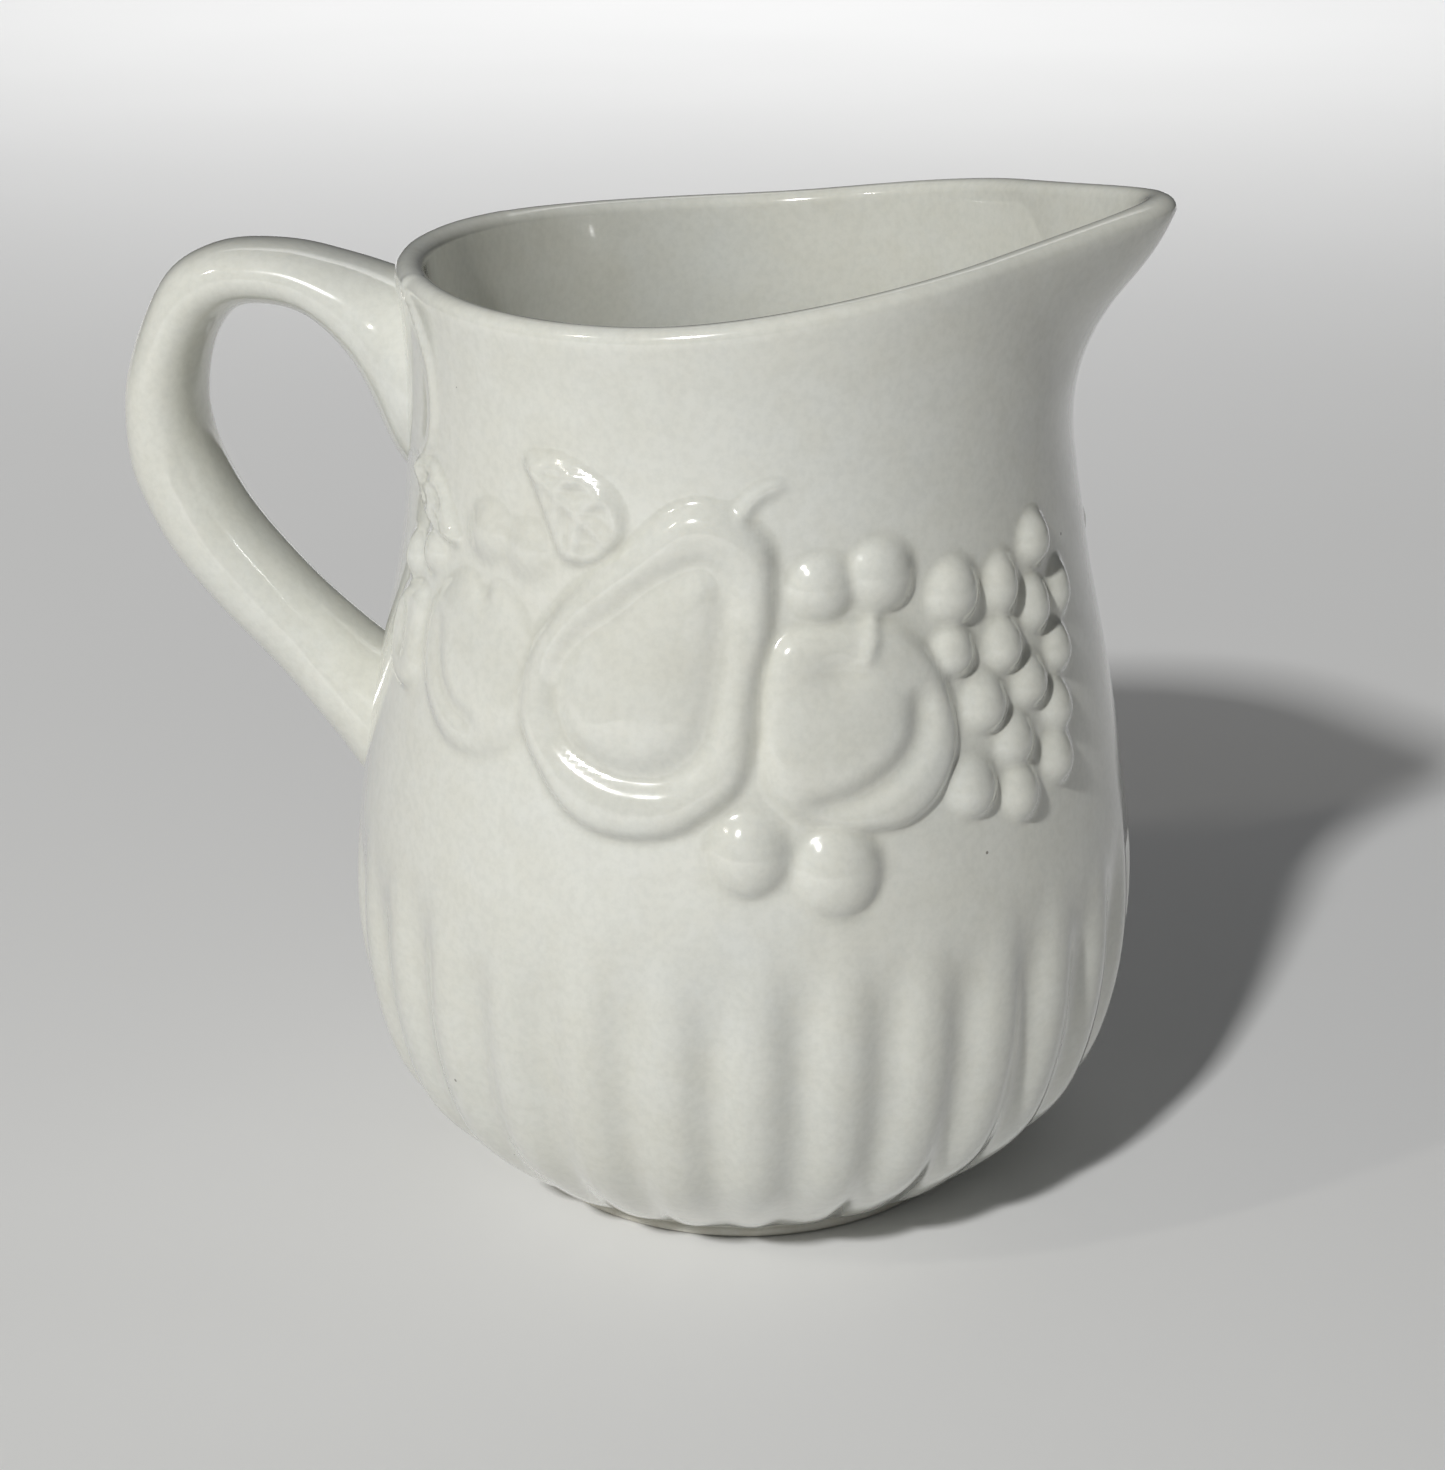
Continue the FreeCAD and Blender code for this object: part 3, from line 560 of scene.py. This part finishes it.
def noise(nt, coord, scale, detail=2.0, rough=0.5):
    n = nt.nodes.new("ShaderNodeTexNoise")
    n.inputs["Scale"].default_value = scale
    n.inputs["Detail"].default_value = detail
    n.inputs["Roughness"].default_value = rough
    nt.links.new(coord, n.inputs["Vector"])
    return n


def ramp(nt, fac, stops):
    r = nt.nodes.new("ShaderNodeValToRGB")
    el = r.color_ramp.elements
    while len(el) > 1:
        el.remove(el[-1])
    el[0].position, el[0].color = stops[0][0], stops[0][1]
    for p, c in stops[1:]:
        e = el.new(p)
        e.color = c
    nt.links.new(fac, r.inputs[0])
    return r


def mix(nt, kind, a, b, fac):
    m = nt.nodes.new("ShaderNodeMix")
    m.data_type = "RGBA"
    m.blend_type = kind
    for sock, v in ((m.inputs[6], a), (m.inputs[7], b)):
        if isinstance(v, tuple):
            sock.default_value = v
        else:
            nt.links.new(v, sock)
    if isinstance(fac, float):
        m.inputs[0].default_value = fac
    else:
        nt.links.new(fac, m.inputs[0])
    return m.outputs[2]


def glaze_material():
    m, nt, bs = nodes_of("glaze_cream")
    tc = nt.nodes.new("ShaderNodeTexCoord")
    obj = tc.outputs["Object"]
    broad = noise(nt, obj, 22.0, 3.0, 0.55)
    base = ramp(nt, broad.outputs["Fac"], [(0.30, (0.758, 0.758, 0.690, 1)), (0.50, (0.782, 0.786, 0.724, 1)),
                                           (0.72, (0.762, 0.774, 0.732, 1))])
    # fine mottling of the body under the glaze
    fine_n = noise(nt, obj, 700.0, 3.0, 0.6)
    fine_r = ramp(nt, fine_n.outputs["Fac"], [(0.35, (0.945, 0.947, 0.945, 1)), (0.6, (1, 1, 1, 1))])
    col = mix(nt, "MULTIPLY", base.outputs[0], fine_r.outputs[0], 1.0)
    mid_n = noise(nt, obj, 160.0, 2.0, 0.5)
    mid_r = ramp(nt, mid_n.outputs["Fac"], [(0.38, (0.975, 0.972, 0.962, 1)), (0.62, (1, 1, 1, 1))])
    col = mix(nt, "MULTIPLY", col, mid_r.outputs[0], 1.0)
    # sparse dark specks and pinholes
    vor = nt.nodes.new("ShaderNodeTexVoronoi")
    vor.feature = "F1"
    vor.inputs["Scale"].default_value = 120.0
    vor.inputs["Randomness"].default_value = 1.0
    nt.links.new(obj, vor.inputs["Vector"])
    dot = nt.nodes.new("ShaderNodeMath")
    dot.operation = "LESS_THAN"
    dot.inputs[1].default_value = 0.036
    nt.links.new(vor.outputs["Distance"], dot.inputs[0])
    pick = nt.nodes.new("ShaderNodeSeparateColor")
    nt.links.new(vor.outputs["Color"], pick.inputs[0])
    some = nt.nodes.new("ShaderNodeMath")
    some.operation = "LESS_THAN"
    some.inputs[1].default_value = 0.16
    nt.links.new(pick.outputs[0], some.inputs[0])
    both = nt.nodes.new("ShaderNodeMath")
    both.operation = "MULTIPLY"
    nt.links.new(dot.outputs[0], both.inputs[0])
    nt.links.new(some.outputs[0], both.inputs[1])
    soft = nt.nodes.new("ShaderNodeMath")
    soft.operation = "MULTIPLY"
    soft.inputs[1].default_value = 0.75
    nt.links.new(both.outputs[0], soft.inputs[0])
    col = mix(nt, "MIX", col, (0.13, 0.11, 0.09, 1), soft.outputs[0])
    # painted shade: the colour is a touch darker and warmer where pointiness is low, in the recesses where shade falls;
    # flat and raised parts keep their colour
    geo = nt.nodes.new("ShaderNodeNewGeometry")
    edge = ramp(nt, geo.outputs["Pointiness"], [(0.42, (0.86, 0.85, 0.80, 1)), (0.50, (1, 1, 1, 1)), (0.60, (1.0, 1.0, 1.0, 1))])
    col = mix(nt, "MULTIPLY", col, edge.outputs[0], 0.8)
    nt.links.new(col, bs.inputs["Base Color"])
    bs.inputs["Roughness"].default_value = 0.14
    bs.inputs["IOR"].default_value = 1.5
    bs.inputs["Coat Weight"].default_value = 1.0
    bs.inputs["Coat Roughness"].default_value = 0.015
    bs.inputs["Coat IOR"].default_value = 1.5
    bs.inputs["Subsurface Weight"].default_value = 0.08
    bs.inputs["Subsurface Radius"].default_value = (0.004, 0.0034, 0.0026)
    bs.inputs["Subsurface Scale"].default_value = 0.4
    # slow waviness and pinholes of the glaze skin
    wave = noise(nt, obj, 95.0, 2.0, 0.5)
    b1 = nt.nodes.new("ShaderNodeBump")
    b1.inputs["Strength"].default_value = 0.10
    b1.inputs["Distance"].default_value = 0.0006
    nt.links.new(wave.outputs["Fac"], b1.inputs["Height"])
    grain = noise(nt, obj, 900.0, 2.0, 0.5)
    b2 = nt.nodes.new("ShaderNodeBump")
    b2.inputs["Strength"].default_value = 0.05
    b2.inputs["Distance"].default_value = 0.0001
    nt.links.new(grain.outputs["Fac"], b2.inputs["Height"])
    nt.links.new(b1.outputs[0], b2.inputs["Normal"])
    nt.links.new(b2.outputs[0], bs.inputs["Normal"])
    nt.links.new(b1.outputs[0], bs.inputs["Coat Normal"])
    return m


def clay_material():
    m, nt, bs = nodes_of("bare_clay")
    tc = nt.nodes.new("ShaderNodeTexCoord")
    n1 = noise(nt, tc.outputs["Object"], 320.0, 4.0, 0.6)
    c = ramp(nt, n1.outputs["Fac"], [(0.3, (0.70, 0.67, 0.58, 1)), (0.6, (0.77, 0.755, 0.68, 1)), (0.8, (0.79, 0.78, 0.71, 1))])
    nt.links.new(c.outputs[0], bs.inputs["Base Color"])
    bs.inputs["Roughness"].default_value = 0.85
    b = nt.nodes.new("ShaderNodeBump")
    b.inputs["Strength"].default_value = 0.4
    b.inputs["Distance"].default_value = 0.0002
    nt.links.new(n1.outputs["Fac"], b.inputs["Height"])
    nt.links.new(b.outputs[0], bs.inputs["Normal"])
    return m


glaze = glaze_material()
clay = clay_material()
for ob, mat in ((vessel, glaze), (grip, glaze), (foot, clay)):
    ob.data.materials.clear()
    ob.data.materials.append(mat)

SPRIGS = ["pear", "pear_stalk", "left_apple", "right_apple", "handle_plum", "leaf", "handle_leaf",
          "upper_berries", "handle_berries", "hanging_berries", "grapes"]
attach(vessel, "root")
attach(grip, "root")
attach(foot, "root")
have = set(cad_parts)
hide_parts("body", "upper_joint_pad",
            *[side + n for n in SPRIGS for side in ("near_", "far_") if side + n in have])
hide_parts("handle", "lower_joint_slip")
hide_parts("foot_ring")

# ------------------------------------------------------------------ stage, light, camera
def stage_floor():
    me = bpy.data.meshes.new("floor")
    me.from_pydata([(-6, -6, 0), (6, -6, 0), (6, 6, 0), (-6, 6, 0)], [], [(0, 1, 2, 3)])
    ob = bpy.data.objects.new("floor", me)
    bpy.context.scene.collection.objects.link(ob)
    m, nt, bs = nodes_of("floor_white")
    tc = nt.nodes.new("ShaderNodeTexCoord")
    n = noise(nt, tc.outputs["Object"], 3.0)
    c = ramp(nt, n.outputs["Fac"], [(0.3, (0.80, 0.80, 0.80, 1)), (0.7, (0.82, 0.82, 0.82, 1))])
    nt.links.new(c.outputs[0], bs.inputs["Base Color"])
    bs.inputs["Roughness"].default_value = 0.9
    bs.inputs["Specular IOR Level"].default_value = 0.0
    me.materials.append(m)
    return ob


floor = stage_floor()

world = bpy.data.worlds.new("studio")
world.use_nodes = True
bg = world.node_tree.nodes["Background"]
bg.inputs[0].default_value = (0.94, 0.97, 1.0, 1)
bg.inputs[1].default_value = 0.06
bpy.context.scene.world = world
bpy.context.scene.view_settings.view_transform = "Standard"
bpy.context.scene.view_settings.look = "None"


def area(name, loc, aim, size_x, size_y, watts, color=(1, 1, 1)):
    d = bpy.data.lights.new(name, "AREA")
    d.shape = "RECTANGLE"
    d.size, d.size_y = size_x, size_y
    d.energy = watts
    d.color = color
    ob = bpy.data.objects.new(name, d)
    ob.location = loc
    ob.rotation_mode = "QUATERNION"
    ob.rotation_quaternion = (Vector(aim) - Vector(loc)).to_track_quat("-Z", "Y")
    bpy.context.scene.collection.objects.link(ob)
    return ob


cam_pos = Vector((0.0863, -0.4722, 0.273))
look_h = Vector((-0.1798, 0.9837, 0)).normalized()
right_v = Vector((look_h.y, -look_h.x, 0))
pitch = math.radians(21.9)
look = look_h * math.cos(pitch) + Vector((0, 0, -math.sin(pitch)))
target = Vector((0, 0, 0.095))


def place(right, back, up):
    """A point given along the camera's own right, back and up, from the object's middle."""
    return target + right_v * right - look_h * back + Vector((0, 0, up))


area("key", place(-0.97, 1.83, 1.74), target, 0.16, 0.24, 51.0, (1.0, 0.998, 0.985))
area("side", place(-2.0, 1.10, 1.60), target, 0.08, 0.30, 5.5, (1.0, 0.96, 0.86))
back = area("backdrop", (-0.35, 1.9, 1.5), (-0.35, 1.9, 0), 2.4, 1.8, 16.0)
back.data.spread = math.radians(100)

cam = bpy.data.cameras.new("camera")
cam.sensor_fit = "AUTO"
cam.sensor_width = 36.0
cam.lens = 2756.0 / 1470.0 * 36.0
cam.shift_x = -(744.0 - 722.5) / 1470.0
cam.shift_y = (745.0 - 735.0) / 1470.0
cam.clip_start, cam.clip_end = 0.01, 50
cam_ob = bpy.data.objects.new("camera", cam)
cam_ob.location = cam_pos
cam_ob.rotation_mode = "QUATERNION"
cam_ob.rotation_quaternion = look.to_track_quat("-Z", "Y")
bpy.context.scene.collection.objects.link(cam_ob)
bpy.context.scene.camera = cam_ob

bpy.context.view_layer.update()
